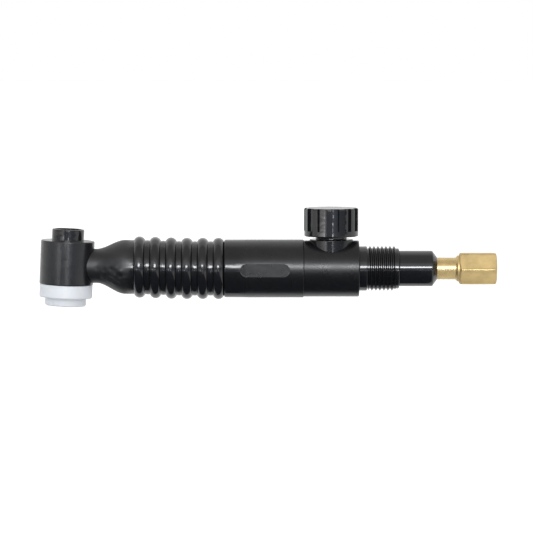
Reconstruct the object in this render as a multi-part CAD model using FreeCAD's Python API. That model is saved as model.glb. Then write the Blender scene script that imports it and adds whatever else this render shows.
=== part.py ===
import FreeCAD, Part
import math
import os

from FreeCAD import Vector

# An air-cooled TIG welding torch body with a gas valve, in millimetres.
# The handle lies along +X and the valve knob points to +Z.
# The origin is where the electrode axis crosses the handle axis, inside the collet-body socket.
# The electrode axis leans a little, so that the cup points slightly away from the handle.

# clearances
slip = 0.05            # radial play of pieces that are pressed, brazed or glued together
run = 0.04             # radial play of pieces that turn or slide in each other
rest_gap = 0.03        # needle to seat when the valve is closed
hub_gap = 0.2          # knob hub to boss when the valve is closed

# head
head_lean = 2.5        # degrees, top of the head towards the handle
head_r = 12.15
head_top = 12.75
head_bottom = 7.1      # below the handle axis
head_wall = 3.3        # side wall of the moulding round the core
head_floor = 2.0       # thickness of the moulding under the core
collar_r = 7.3
collar_height = 5.2
collar_wall = 1.2
head_edge = 0.4        # broken edges of the head and its collar

# metal core of the head, with the socket of the collet body
collet_socket_r = 4.33
collet_socket_top = 1.0
collet_bore_r = 3.2
spigot_wall = 1.9      # the spigot carries the gasket
spigot_length = 4.2
core_top = 10.9
gas_port_r = 2.0

# bush with the thread of the back cap
bush_wall = 1.1
bush_seat_depth = 4.0  # how far the bush sits in the core
bush_recess = 1.0      # bush top below the collar's rim
back_cap_depth = 7.0

# gasket under the head
gasket_inset = 0.2     # side of the gasket behind the side of the head
gasket_height = 6.0
gasket_step_width = 2.65
gasket_step_height = 3.7
gasket_edge = 0.6

# copper tubes for gas and current
tube_r = 4.0
tube_wall = 1.0
neck_tube_depth = 2.6  # how far the neck tube sits in the core

# ribbed front grip with its neck
neck_r = 7.75
neck_rise = 1.2        # neck centre above the handle axis, at the head
flare_start = 13.5
flare_length = 13.0
flare_steps = 8
first_rib_x = 33.1
rib_pitch = 7.14
rib_count = 6
rib_root_r = 12.25
rib_height = 1.7
rib_crest_round = 2.3
rib_flank = 60.0       # degrees
rib_floor_swell = 0.12
grip_tail = 2.55       # from the last crest to the sleeve
tenon_length = 8.0     # tail of the grip inside the sleeve

# handle sleeve with its name recess
sleeve_r = 13.15
sleeve_length = 36.0
sleeve_wall = 3.15
sleeve_edge = 0.8
recess_length = 22.4
recess_width = 5.9
recess_depth = 0.7
recess_from_front = 18.5

# valve housing and its boss
housing_r = 12.75
housing_length = 25.1
housing_wall = 3.4
housing_edge = 0.3
housing_front_wall = 3.0
housing_spigot_length = 7.0
boss_r = 9.9
boss_height = 0.55      # boss above the top of the housing
boss_wall = 3.3
boss_edge = 0.3

# brass valve block
tube_socket_depth = 4.0
tube_end_gap = 0.8     # free space in front of a tube's end
bonnet_land_depth = 1.3
gas_way_r = 1.0
gas_way_drop = 3.0
outlet_r = 1.5
outlet_rise = 1.6

# seat and needle
seat_wall = 1.8
seat_height = 2.5
seat_top = 0.0
orifice_r = 1.0
needle_tip_r = 0.4
needle_half_angle = 30.0
needle_reach = 1.6     # needle tip below the seat's top
needle_root_r = 2.2

# valve stem, its ring and its nut
stem_r = 2.5
valve_lift = 2.5
shoulder_inset = 0.2   # shoulder above the lower end of the nut, valve closed
shoulder_height = 1.1
ring_groove_depth = 0.82
ring_play = 0.1        # axial play of the ring in its groove
gland_depth = 0.8      # wall of the gland bore beyond the stem
gland_rest = 0.1       # ring to gland top, valve open
bonnet_wall = 1.15
bonnet_shank_length = 4.3
bonnet_gasket_height = 0.6
bonnet_head_height = 3.3
bonnet_play = 0.25     # corners of the nut to the boss
stem_flat = 0.5        # depth of the flat that drives the knob

# valve knob
knob_r = 12.3
knob_rise = 1.45        # knob above the boss when the valve is closed
knob_height = 12.8
knob_rim_height = 2.5
knob_edge = 0.5
hub_r = 7.1
flute_count = 12
flute_turn = 7.0       # degrees from the side that faces -Y
flute_width = 3.7
flute_depth = 0.8
insert_wall = 1.5
insert_height = 7.0
cap_r = 4.6
cap_height = 1.5
screw_pocket_depth = 2.6
screw_head_r = 2.8
screw_head_height = 2.0
screw_head_play = 0.5
screw_r = 1.4
screw_length = 8.0
screw_slot = 0.8

# threaded handle adapter
adapter_shank_r = 10.1
adapter_shank_length = 3.6
adapter_spigot_length = 4.0
adapter_wall = 2.65     # under the thread
relief_width = 0.5
relief_depth = 0.05    # relief and land below the root of the thread
thread_r = 10.1
thread_pitch = 25.4 / 14
thread_depth = 0.9
thread_flank = 30.0    # degrees
thread_crest = 0.35
thread_overcut = 0.1   # how far the cutter stands out of the crest
thread_length = 12.3
land_length = 1.7
land_edge = 0.3

# rear insulator
insulator_r = 8.1
insulator_length = 15.1
insulator_cone_length = 2.1
insulator_spigot_length = 10.0

# brass cable connector
connector_neck_r = 5.0
connector_neck_showing = 8.5
connector_neck_hidden = 9.0
connector_tube_depth = 12.0
connector_collar_r = 5.9
connector_collar_length = 1.6
hex_flats = 13.85
hex_length = 16.9
hex_chamfer = 0.9
cable_socket_r = 4.2
cable_socket_depth = 11.0
cable_way_r = 2.0

# radii that follow from the sizes above
core_r = head_r - head_wall - slip
spigot_r = collet_socket_r + spigot_wall
bush_r = collar_r - collar_wall - slip
back_cap_r = bush_r - bush_wall
gasket_r = head_r - gasket_inset
gasket_step_r = gasket_r - gasket_step_width
sleeve_bore_r = sleeve_r - sleeve_wall
tenon_r = sleeve_bore_r - slip
housing_bore_r = housing_r - housing_wall
block_r = housing_bore_r - slip
boss_bore_r = boss_r - boss_wall
seat_r = orifice_r + seat_wall
ring_groove_r = stem_r - ring_groove_depth
gland_r = stem_r + gland_depth
bonnet_shank_r = gland_r + bonnet_wall
shoulder_r = gland_r - 4 * run
bonnet_corner_r = boss_bore_r - bonnet_play
insert_r = stem_r + insert_wall
screw_pocket_r = screw_head_r + screw_head_play
thread_root_r = thread_r - thread_depth
land_r = thread_root_r - relief_depth
adapter_bore_r = land_r - adapter_wall
insulator_spigot_r = adapter_bore_r - slip

# places along the handle that follow from the sizes above
grip_end = first_rib_x + (rib_count - 1) * rib_pitch + grip_tail
sleeve_end = grip_end + sleeve_length
housing_end = sleeve_end + housing_length
stem_x = sleeve_end + housing_length / 2
shank_end = housing_end + adapter_shank_length
thread_start = shank_end + relief_width
thread_end = thread_start + thread_length
adapter_end = thread_end + land_length
insulator_end = adapter_end + insulator_length + insulator_cone_length
connector_start = insulator_end - connector_neck_hidden
collar_start = insulator_end + connector_neck_showing
hex_start = collar_start + connector_collar_length
hex_end = hex_start + hex_length
block_start = sleeve_end + housing_front_wall
block_end = housing_end - adapter_spigot_length
adapter_start = block_end

# heights that follow from the sizes above
collar_top = head_top + collar_height
core_bottom = -head_bottom + head_floor
spigot_bottom = -head_bottom - spigot_length
bush_top = collar_top - bush_recess
bush_bottom = core_top - bush_seat_depth
block_land = block_r - bonnet_land_depth
bonnet_bottom = block_land - bonnet_shank_length
bonnet_head = block_land + bonnet_gasket_height
bonnet_top = bonnet_head + bonnet_head_height
shoulder_bottom = bonnet_bottom + shoulder_inset
groove_bottom = shoulder_bottom + shoulder_height
ring_r = (gland_r - ring_groove_r) / 2 - run
ring_z = groove_bottom + ring_play + ring_r
groove_top = ring_z + ring_r + ring_play
gland_top = ring_z + ring_r + valve_lift + gland_rest
needle_tip = seat_top - needle_reach
boss_top = housing_r + boss_height
knob_bottom = boss_top + knob_rise
knob_top = knob_bottom + knob_height
cap_bottom = knob_top - cap_height
pocket_floor = cap_bottom - screw_pocket_depth
insert_bottom = pocket_floor - insert_height

ALONG = Vector(1, 0, 0)
UP = Vector(0, 0, 1)
ORIGIN = Vector(0, 0, 0)
stem_foot = Vector(stem_x, 0, 0)


def face_of(edges):
    return Part.Face(Part.Wire(edges))


def straight_edges(points):
    """Straight edges through the points and back to the first one."""
    return [Part.LineSegment(a, b).toShape() for a, b in zip(points, points[1:] + points[:1])]


def turned_x(profile):
    """A solid turned about the handle axis from (along, radius) points."""
    points = [Vector(along, 0, radius) for along, radius in profile]
    return face_of(straight_edges(points)).revolve(ORIGIN, ALONG, 360)


def turned_z(profile, foot=ORIGIN):
    """A solid turned about an upright axis from (radius, height) points."""
    points = [Vector(radius, 0, height) for radius, height in profile]
    solid = face_of(straight_edges(points)).revolve(ORIGIN, UP, 360)
    solid.translate(foot)
    return solid


def rod_x(start, end, radius, height=0.0):
    return Part.makeCylinder(radius, end - start, Vector(start, 0, height), ALONG)


def rod_z(bottom, top, radius, foot=ORIGIN):
    return Part.makeCylinder(radius, top - bottom, foot + Vector(0, 0, bottom), UP)


def leaned(shape):
    """Turns a piece of the head from upright to the lean of the electrode axis."""
    return shape.rotated(ORIGIN, Vector(0, 1, 0), head_lean)


def hexagon(corner_r, centre, normal):
    """A hexagon face with two of its corners on the Y axis."""
    side = UP if normal == ALONG else ALONG
    corners = []
    for number in range(6):
        angle = math.radians(60 * number)
        across = Vector(0, corner_r * math.cos(angle), 0)
        corners.append(centre + across + side * (corner_r * math.sin(angle)))
    return face_of(straight_edges(corners))


# head

def neck_tube_way(radius):
    """The hole for the neck tube through the moulding and into the core."""
    return rod_x(core_r - neck_tube_depth, head_r + neck_r, radius)


def head_shell():
    shell = turned_z([
        (spigot_r + slip, -head_bottom), (head_r - head_edge, -head_bottom),
        (head_r, -head_bottom + head_edge), (head_r, head_top - head_edge),
        (head_r - head_edge, head_top), (collar_r, head_top),
        (collar_r, collar_top - head_edge), (collar_r - head_edge, collar_top),
        (bush_r + slip, collar_top), (bush_r + slip, core_top + slip),
        (core_r + slip, core_top + slip), (core_r + slip, core_bottom - slip),
        (spigot_r + slip, core_bottom - slip),
    ])
    return leaned(shell).cut(neck_tube_way(tube_r + slip))


def head_core():
    core = turned_z([
        (collet_socket_r, spigot_bottom), (spigot_r, spigot_bottom),
        (spigot_r, core_bottom), (core_r, core_bottom), (core_r, core_top),
        (bush_r + slip, core_top), (bush_r + slip, bush_bottom), (collet_bore_r, bush_bottom),
        (collet_bore_r, collet_socket_top), (collet_socket_r, collet_socket_top),
    ])
    gas_port = rod_x(0, core_r, gas_port_r)
    return leaned(core).cut(neck_tube_way(tube_r + slip)).cut(gas_port)


def back_cap_bush():
    floor = bush_top - back_cap_depth
    return leaned(turned_z([
        (back_cap_r, bush_top), (back_cap_r, floor), (collet_bore_r, floor),
        (collet_bore_r, bush_bottom), (bush_r, bush_bottom), (bush_r, bush_top),
    ]))


def cup_gasket():
    step = -head_bottom - gasket_height
    bottom = step - gasket_step_height
    bore = spigot_r + slip
    return leaned(turned_z([
        (bore, -head_bottom), (gasket_r, -head_bottom), (gasket_r, step + gasket_edge),
        (gasket_r - gasket_edge, step), (gasket_step_r, step),
        (gasket_step_r, bottom + gasket_edge), (gasket_step_r - gasket_edge, bottom),
        (bore, bottom),
    ]))


# tubes

def tube(start, end):
    return rod_x(start, end, tube_r).cut(rod_x(start, end, tube_r - tube_wall))


def neck_tube():
    start = core_r - neck_tube_depth + slip
    return tube(start, block_start + tube_socket_depth - tube_end_gap)


def power_tube():
    start = block_end - tube_socket_depth + tube_end_gap
    return tube(start, connector_start + connector_tube_depth)


# grip and sleeve

def neck_flare():
    """The neck, from inside the head to the straight part in front of the ribs."""
    sections = []
    for step in range(flare_steps + 1):
        share = step / flare_steps
        smooth = share * share * (3 - 2 * share)
        centre = Vector(flare_start + share * flare_length, 0, neck_rise * (1 - smooth))
        radius = neck_r + (rib_root_r - neck_r) * smooth
        sections.append(Part.Wire(Part.Circle(centre, ALONG, radius).toShape()))
    straight = rod_x(0, flare_start, neck_r, neck_rise)
    return straight.fuse(Part.makeLoft(sections, True))


def rib_profile(crest):
    """Edges of one rib: a flank, a round crest and a flank."""
    angle = math.radians(rib_flank)
    crest_half = rib_crest_round * math.sin(angle)
    flank_drop = rib_height - rib_crest_round * (1 - math.cos(angle))
    foot_half = crest_half + flank_drop / math.tan(angle)
    crest_r = rib_root_r + rib_height

    front_foot = Vector(crest - foot_half, 0, rib_root_r)
    front = Vector(crest - crest_half, 0, rib_root_r + flank_drop)
    back = Vector(crest + crest_half, 0, rib_root_r + flank_drop)
    back_foot = Vector(crest + foot_half, 0, rib_root_r)
    edges = [
        Part.LineSegment(front_foot, front).toShape(),
        Part.Arc(front, Vector(crest, 0, crest_r), back).toShape(),
        Part.LineSegment(back, back_foot).toShape(),
    ]
    return edges, front_foot, back_foot


def ribbed_barrel():
    start = Vector(flare_start + flare_length, 0, rib_root_r)
    edges = []
    here = start
    for number in range(rib_count):
        rib, front_foot, back_foot = rib_profile(first_rib_x + number * rib_pitch)
        if number == 0:
            edges.append(Part.LineSegment(here, front_foot).toShape())
        else:
            swell = (here + front_foot) * 0.5 + Vector(0, 0, rib_floor_swell)
            edges.append(Part.Arc(here, swell, front_foot).toShape())
        edges += rib
        here = back_foot
    inner = tube_r + slip
    corners = [
        here, Vector(grip_end, 0, rib_root_r), Vector(grip_end, 0, tenon_r),
        Vector(grip_end + tenon_length, 0, tenon_r), Vector(grip_end + tenon_length, 0, inner),
        Vector(start.x, 0, inner), start,
    ]
    edges += [Part.LineSegment(a, b).toShape() for a, b in zip(corners, corners[1:])]
    return face_of(edges).revolve(ORIGIN, ALONG, 360)


def grip():
    neck = neck_flare().cut(rod_x(0, flare_start + flare_length, tube_r + slip))
    head = leaned(rod_z(-2 * head_r, 2 * head_r, head_r + slip))
    return neck.cut(head).fuse(ribbed_barrel())


def name_recess():
    """A long pocket with round ends in the side of the sleeve that faces -Y."""
    end_r = recess_width / 2
    half = recess_length / 2 - end_r
    centre_x = grip_end + recess_from_front
    outside = -2 * sleeve_r
    depth = -outside - (sleeve_r - recess_depth)
    corner = Vector(centre_x - half, outside, -end_r)
    pocket = Part.makeBox(2 * half, depth, recess_width, corner)
    for x in (centre_x - half, centre_x + half):
        end = Part.makeCylinder(end_r, depth, Vector(x, outside, 0), Vector(0, 1, 0))
        pocket = pocket.fuse(end)
    return pocket


def handle_sleeve():
    sleeve = turned_x([
        (grip_end, sleeve_bore_r), (grip_end, sleeve_r - sleeve_edge),
        (grip_end + sleeve_edge, sleeve_r), (sleeve_end, sleeve_r), (sleeve_end, sleeve_bore_r),
    ])
    return sleeve.cut(name_recess())


# valve housing and what it holds

def valve_housing():
    spigot_start = sleeve_end - housing_spigot_length
    shell = turned_x([
        (spigot_start, tube_r + slip), (spigot_start, tenon_r),
        (sleeve_end, tenon_r), (sleeve_end, housing_r),
        (housing_end - housing_edge, housing_r), (housing_end, housing_r - housing_edge),
        (housing_end, housing_bore_r), (block_start, housing_bore_r), (block_start, tube_r + slip),
    ])
    boss = turned_z([
        (0, 0), (boss_r, 0), (boss_r, boss_top - boss_edge),
        (boss_r - boss_edge, boss_top), (0, boss_top),
    ], stem_foot)
    housing = shell.fuse(boss).cut(rod_z(0, boss_top, boss_bore_r, stem_foot))
    housing = housing.cut(rod_x(block_start, housing_end, housing_bore_r))
    return housing.cut(rod_x(spigot_start, block_start, tube_r + slip))


def valve_block():
    seat_floor = seat_top - seat_height
    rear_socket = block_end - tube_socket_depth
    front_socket = block_start + tube_socket_depth
    cuts = [
        rod_z(block_land, block_r, boss_bore_r, stem_foot),
        rod_z(bonnet_bottom, block_land, bonnet_shank_r, stem_foot),
        rod_z(seat_top, bonnet_bottom, gland_r, stem_foot),
        rod_z(seat_floor, seat_top, seat_r + slip, stem_foot),
        rod_z(-gas_way_drop, seat_floor, gas_way_r, stem_foot),
        rod_x(block_start, front_socket, tube_r + slip),
        rod_x(rear_socket, block_end, tube_r + slip),
        rod_x(stem_x, rear_socket, gas_way_r, -gas_way_drop),
        rod_x(front_socket, stem_x, outlet_r, outlet_rise),
    ]
    block = rod_x(block_start, block_end, block_r)
    for tool in cuts:
        block = block.cut(tool)
    return block


def needle_radius(height):
    """Radius of the needle's cone at a height, with the valve closed."""
    return needle_tip_r + (height - needle_tip) * math.tan(math.radians(needle_half_angle))


def needle_height(radius):
    """Height at which the needle's cone has a radius, with the valve closed."""
    return needle_tip + (radius - needle_tip_r) / math.tan(math.radians(needle_half_angle))


def valve_seat():
    cone_gap = rest_gap / math.cos(math.radians(needle_half_angle))
    seat_floor = seat_top - seat_height
    return turned_z([
        (orifice_r, seat_floor), (seat_r, seat_floor), (seat_r, seat_top),
        (needle_radius(seat_top) + cone_gap, seat_top),
        (orifice_r, needle_height(orifice_r - cone_gap)),
    ], stem_foot)


def bonnet_nut():
    head = hexagon(bonnet_corner_r, stem_foot + UP * bonnet_head, UP)
    nut = head.extrude(UP * bonnet_head_height)
    nut = nut.fuse(rod_z(bonnet_bottom, bonnet_head, bonnet_shank_r - slip, stem_foot))
    nut = nut.cut(rod_z(bonnet_bottom, gland_top, gland_r, stem_foot))
    return nut.cut(rod_z(gland_top, bonnet_top, stem_r + run, stem_foot))


def bonnet_gasket():
    flat_r = bonnet_corner_r * math.sqrt(3) / 2
    disc = rod_z(block_land, bonnet_head, flat_r, stem_foot)
    return disc.cut(rod_z(block_land, bonnet_head, bonnet_shank_r, stem_foot))


# what the hand turns

def driving_flat(radius):
    """What is cut off a round stem or bore to leave the flat that drives the knob."""
    corner = Vector(stem_x + radius - stem_flat, -2 * radius, insert_bottom)
    return Part.makeBox(2 * radius, 4 * radius, insert_height, corner)


def valve_stem():
    neck_top = needle_height(needle_root_r)
    stem = turned_z([
        (0, needle_tip), (needle_tip_r, needle_tip), (needle_root_r, neck_top),
        (needle_root_r, shoulder_bottom), (shoulder_r, shoulder_bottom),
        (shoulder_r, groove_bottom), (ring_groove_r, groove_bottom),
        (ring_groove_r, groove_top), (stem_r, groove_top),
        (stem_r, pocket_floor - slip), (0, pocket_floor - slip),
    ], stem_foot)
    screw_hole = rod_z(pocket_floor - screw_length - slip, pocket_floor, screw_r + slip, stem_foot)
    return stem.cut(driving_flat(stem_r)).cut(screw_hole)


def stem_o_ring():
    return Part.makeTorus(ring_groove_r + run + ring_r, ring_r, stem_foot + UP * ring_z, UP)


def flute():
    """The cutter of one flute, on the side that faces +X."""
    corner = Vector(knob_r - flute_depth, -flute_width / 2, knob_bottom + knob_rim_height)
    return Part.makeBox(2 * flute_depth, flute_width, knob_height, corner)


def knob():
    body = turned_z([
        (stem_r + run, boss_top + hub_gap), (hub_r, boss_top + hub_gap), (hub_r, knob_bottom),
        (knob_r - knob_edge, knob_bottom), (knob_r, knob_bottom + knob_edge),
        (knob_r, knob_top - knob_edge), (knob_r - knob_edge, knob_top),
        (cap_r + slip, knob_top), (cap_r + slip, cap_bottom),
        (screw_pocket_r, cap_bottom), (screw_pocket_r, pocket_floor),
        (insert_r + slip, pocket_floor), (insert_r + slip, insert_bottom),
        (stem_r + run, insert_bottom),
    ])
    for number in range(flute_count):
        angle = 360 * number / flute_count + flute_turn - 90
        body = body.cut(flute().rotated(ORIGIN, UP, angle))
    body.translate(stem_foot)
    return body


def knob_insert():
    bore = rod_z(insert_bottom, pocket_floor, stem_r + slip, stem_foot)
    bore = bore.cut(driving_flat(stem_r + slip))
    return rod_z(insert_bottom, pocket_floor, insert_r, stem_foot).cut(bore)


def knob_screw():
    head_top_z = pocket_floor + screw_head_height
    head = rod_z(pocket_floor, head_top_z, screw_head_r, stem_foot)
    shank = rod_z(pocket_floor - screw_length, pocket_floor, screw_r, stem_foot)
    corner = Vector(stem_x - screw_head_r, -screw_slot / 2, head_top_z - screw_head_height / 2)
    slot = Part.makeBox(2 * screw_head_r, screw_slot, screw_head_height, corner)
    return head.fuse(shank).cut(slot)


def knob_cap():
    return rod_z(cap_bottom, knob_top, cap_r, stem_foot)


# rear end

def thread_groove():
    """The groove between the turns of the right-hand thread."""
    outer_r = thread_r + thread_overcut
    flank = math.tan(math.radians(thread_flank))
    crest_half = (thread_pitch - thread_crest) / 2
    root_half = crest_half - thread_depth * flank
    outer_half = crest_half + thread_overcut * flank
    profile = Part.Wire(straight_edges([
        Vector(thread_root_r, 0, root_half), Vector(outer_r, 0, outer_half),
        Vector(outer_r, 0, -outer_half), Vector(thread_root_r, 0, -root_half),
    ]))
    helix = Part.makeLongHelix(thread_pitch, thread_length, thread_root_r, 0)
    groove = Part.Wire(helix).makePipeShell([profile], True, True)
    groove.rotate(ORIGIN, Vector(0, 1, 0), 90)
    groove.translate(Vector(thread_start + crest_half, 0, 0))
    return groove


def handle_adapter():
    body = turned_x([
        (adapter_start, adapter_bore_r), (adapter_start, block_r), (housing_end, block_r),
        (housing_end, adapter_shank_r), (shank_end, adapter_shank_r),
        (shank_end, land_r), (thread_start, land_r), (thread_start, thread_r),
        (thread_end, thread_r), (thread_end, land_r),
        (adapter_end - land_edge, land_r), (adapter_end, land_r - land_edge),
        (adapter_end, adapter_bore_r),
    ])
    return body.cut(thread_groove())


def rear_insulator():
    spigot_start = adapter_end - insulator_spigot_length
    cone_start = insulator_end - insulator_cone_length
    return turned_x([
        (spigot_start, tube_r + slip), (spigot_start, insulator_spigot_r),
        (adapter_end, insulator_spigot_r), (adapter_end, insulator_r),
        (cone_start, insulator_r), (insulator_end, connector_neck_r + slip),
        (connector_start, connector_neck_r + slip), (connector_start, tube_r + slip),
    ])


def cable_connector():
    corner_r = hex_flats / math.sqrt(3)
    chamfer_r = hex_flats / 2 - hex_chamfer / 2
    nut = hexagon(corner_r, ALONG * hex_start, ALONG).extrude(ALONG * hex_length)
    rounded = turned_x([
        (hex_start, 0), (hex_start, chamfer_r), (hex_start + hex_chamfer, corner_r),
        (hex_end - hex_chamfer, corner_r), (hex_end, chamfer_r), (hex_end, 0),
    ])
    collar_middle = collar_start + connector_collar_length / 2
    neck = turned_x([
        (connector_start, 0), (connector_start, connector_neck_r),
        (collar_start, connector_neck_r), (collar_middle, connector_collar_r),
        (hex_start, connector_collar_r), (hex_start, 0),
    ])
    tube_end = connector_start + connector_tube_depth
    body = nut.common(rounded).fuse(neck)
    body = body.cut(rod_x(connector_start, tube_end, tube_r + slip))
    body = body.cut(rod_x(tube_end, hex_end, cable_way_r))
    return body.cut(rod_x(hex_end - cable_socket_depth, hex_end, cable_socket_r))


PIECES = [
    head_shell, head_core, back_cap_bush, cup_gasket, neck_tube, grip, handle_sleeve,
    valve_housing, valve_block, valve_seat, bonnet_nut, bonnet_gasket, valve_stem, stem_o_ring,
    knob, knob_insert, knob_screw, knob_cap, handle_adapter, rear_insulator, power_tube,
    cable_connector,
]


def save(piece):
    """Writes one piece to its own file, after a look at whether it is one sound solid."""
    name = piece.__name__
    shape = piece().removeSplitter()
    if not shape.isValid() or len(shape.Solids) != 1:
        raise ValueError(name + " is not one sound solid")
    shape.Solids[0].exportStep("parts/" + name + ".step")
    print(f"{name}: {shape.Volume:.1f} mm3")


os.makedirs("parts", exist_ok=True)
for piece in PIECES:
    save(piece)
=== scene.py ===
import math

import bmesh
import bpy
from mathutils import Matrix, Vector


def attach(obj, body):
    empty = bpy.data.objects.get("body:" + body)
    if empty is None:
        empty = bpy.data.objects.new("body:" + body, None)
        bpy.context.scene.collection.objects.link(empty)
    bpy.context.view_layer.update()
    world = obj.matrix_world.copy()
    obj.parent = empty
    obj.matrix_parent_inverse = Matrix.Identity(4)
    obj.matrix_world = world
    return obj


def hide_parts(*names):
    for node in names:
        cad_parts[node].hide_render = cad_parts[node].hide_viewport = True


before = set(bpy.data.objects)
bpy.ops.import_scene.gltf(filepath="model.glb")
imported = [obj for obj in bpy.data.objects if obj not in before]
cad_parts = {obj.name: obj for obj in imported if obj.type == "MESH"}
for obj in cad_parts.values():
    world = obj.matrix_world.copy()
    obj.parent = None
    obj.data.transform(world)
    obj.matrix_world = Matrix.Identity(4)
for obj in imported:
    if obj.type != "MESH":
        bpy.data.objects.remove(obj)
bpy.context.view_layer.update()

bl_info = {
    "name": "Welding torch body",
    "version": (1, 0, 0),
    "blender": (4, 5, 0),
    "location": "View3D > Sidebar > Torch",
    "description": "Dresses the packed welding torch body with detailed pieces and finishes",
    "category": "Object",
}

MM = 0.001
ALONG = Vector((1, 0, 0))
UP = Vector((0, 0, 1))
ORIGIN = Vector((0, 0, 0))
ROUND_STEPS = 144           # faces round a turned piece
WELD = 2e-6                 # points closer than this are one point
SLIVER = 0.0001 * MM        # points of a finished piece closer than this are merged
SPIGOT = 6.28 * MM          # radius of the hole in the gasket and in the head's floor
TUBE_WAY = 4.05 * MM        # radius of the holes that the copper tubes go through
TENON = 9.95 * MM           # radius of both ends that the sleeve is pushed over
GRIP_END = 71.35 * MM       # the sleeve starts here
SLEEVE_END = 107.35 * MM    # the full width of the housing starts here
CONNECTOR_START = 158.75 * MM
STEM = Vector((119.9 * MM, 0, 0))
FLUTE_START = 7             # degrees from the front of the knob to its first flute
FLOOR_HEIGHT = -0.060


# properties

def length(name, description, millimetres):
    return bpy.props.FloatProperty(
        name=name, description=description, default=millimetres * MM, min=0.0,
        unit="LENGTH", subtype="DISTANCE", precision=5)


def colour(name, description, red, green, blue):
    return bpy.props.FloatVectorProperty(
        name=name, description=description, default=(red, green, blue), size=3,
        min=0.0, max=1.0, subtype="COLOR")


class HeadSizes(bpy.types.PropertyGroup):
    lean: bpy.props.FloatProperty(
        name="Lean", description="Lean of the electrode axis towards the handle",
        default=math.radians(2.5), unit="ROTATION", subtype="ANGLE")
    radius: length("Radius", "Radius of the head", 12.15)
    top: length("Top", "Top of the head above the handle axis", 12.75)
    bottom: length("Bottom", "Bottom of the head below the handle axis", 7.1)
    collar_radius: length("Collar radius", "Radius of the collar for the back cap", 7.3)
    collar_height: length("Collar height", "Height of the collar above the head", 5.2)
    edge: length("Edge", "Rounding of the outer edges", 0.45)


class GasketSizes(bpy.types.PropertyGroup):
    radius: length("Radius", "Radius of the upper step", 11.95)
    height: length("Height", "Height of the upper step", 6.0)
    step_radius: length("Step radius", "Radius of the lower step", 9.3)
    step_height: length("Step height", "Height of the lower step", 3.7)
    edge: length("Edge", "Rounding of the lower edges", 0.7)


class GripSizes(bpy.types.PropertyGroup):
    neck_radius: length("Neck radius", "Radius of the thin neck", 7.75)
    neck_rise: length("Neck rise", "Centre of the neck above the handle axis", 1.2)
    root_radius: length("Root radius", "Radius between the ribs", 12.25)
    rib_height: length("Rib height", "Height of the ribs", 1.7)
    rib_pitch: length("Rib pitch", "Distance from rib to rib", 7.14)
    first_rib: length("First rib", "Place of the first crest along the handle", 33.1)
    front_rise: length("Front rise", "How far the front of the ribs is bent up", 0.72)


class SleeveSizes(bpy.types.PropertyGroup):
    radius: length("Radius", "Radius of the sleeve", 13.15)
    edge: length("Edge", "Rounding of the front edge", 0.8)
    recess_length: length("Recess length", "Length of the oval recess", 22.4)
    recess_width: length("Recess width", "Width of the oval recess", 5.9)
    recess_depth: length("Recess depth", "Depth of the oval recess", 0.7)


class HousingSizes(bpy.types.PropertyGroup):
    radius: length("Radius", "Radius of the valve housing", 12.75)
    boss_radius: length("Boss radius", "Radius of the boss under the knob", 9.9)
    boss_top: length("Boss top", "Top of the boss above the handle axis", 13.3)


class KnobSizes(bpy.types.PropertyGroup):
    radius: length("Radius", "Radius of the knob", 12.3)
    bottom: length("Bottom", "Underside of the knob above the handle axis", 14.75)
    top: length("Top", "Top of the knob above the handle axis", 27.55)
    rim: length("Rim", "Height of the plain rim under the flutes", 2.5)
    flute_width: length("Flute width", "Width of a flute", 3.7)
    flute_depth: length("Flute depth", "Depth of a flute", 1.1)
    flutes: bpy.props.IntProperty(
        name="Flutes", description="Number of flutes", default=12, min=3, max=40)


class RearSizes(bpy.types.PropertyGroup):
    thread_radius: length("Thread radius", "Outside radius of the thread", 10.1)
    thread_depth: length("Thread depth", "Depth of the thread", 0.9)
    thread_pitch: length("Thread pitch", "Pitch of the thread", 25.4 / 14)
    insulator_radius: length("Insulator radius", "Radius of the rear insulator", 8.1)
    hex_flats: length("Hexagon", "Width of the brass hexagon across its flats", 13.85)


class FinishColours(bpy.types.PropertyGroup):
    black: colour("Black", "Colour of the black mouldings", 0.0075, 0.0078, 0.009)
    gasket: colour("Gasket", "Colour of the white gasket", 0.83, 0.86, 0.90)
    brass: colour("Brass", "Colour of the brass", 0.62, 0.465, 0.215)
    copper: colour("Copper", "Colour of the copper tubes", 0.70, 0.34, 0.20)


# modelling

def select_only(piece, *others):
    """Selects a piece, which becomes the active one, and the others beside it."""
    bpy.ops.object.select_all(action="DESELECT")
    for item in (piece, *others):
        item.select_set(True)
    bpy.context.view_layer.objects.active = piece


def start_editing(piece):
    select_only(piece)
    bpy.ops.object.mode_set(mode="EDIT")
    bpy.ops.mesh.select_mode(type="VERT")
    bpy.ops.mesh.select_all(action="SELECT")


def stop_editing():
    bpy.ops.object.mode_set(mode="OBJECT")


def select_where(piece, test, kind="VERT"):
    """In edit mode, selects only the places, edges or faces that pass the test."""
    bpy.ops.mesh.select_mode(type=kind)
    bpy.ops.mesh.select_all(action="DESELECT")
    mesh = bmesh.from_edit_mesh(piece.data)
    items = {"VERT": mesh.verts, "EDGE": mesh.edges, "FACE": mesh.faces}[kind]
    for item in items:
        if test(item.co if kind == "VERT" else item):
            item.select_set(True)
    mesh.select_flush_mode()
    bmesh.update_edit_mesh(piece.data)


def primitive(add, name, **sizes):
    """A new primitive with all else deselected, and with its place and turn put in its mesh."""
    bpy.ops.object.select_all(action="DESELECT")
    add(**sizes)
    piece = bpy.context.object
    piece.name = name
    bpy.ops.object.transform_apply(location=True, rotation=True, scale=True)
    return piece


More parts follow.
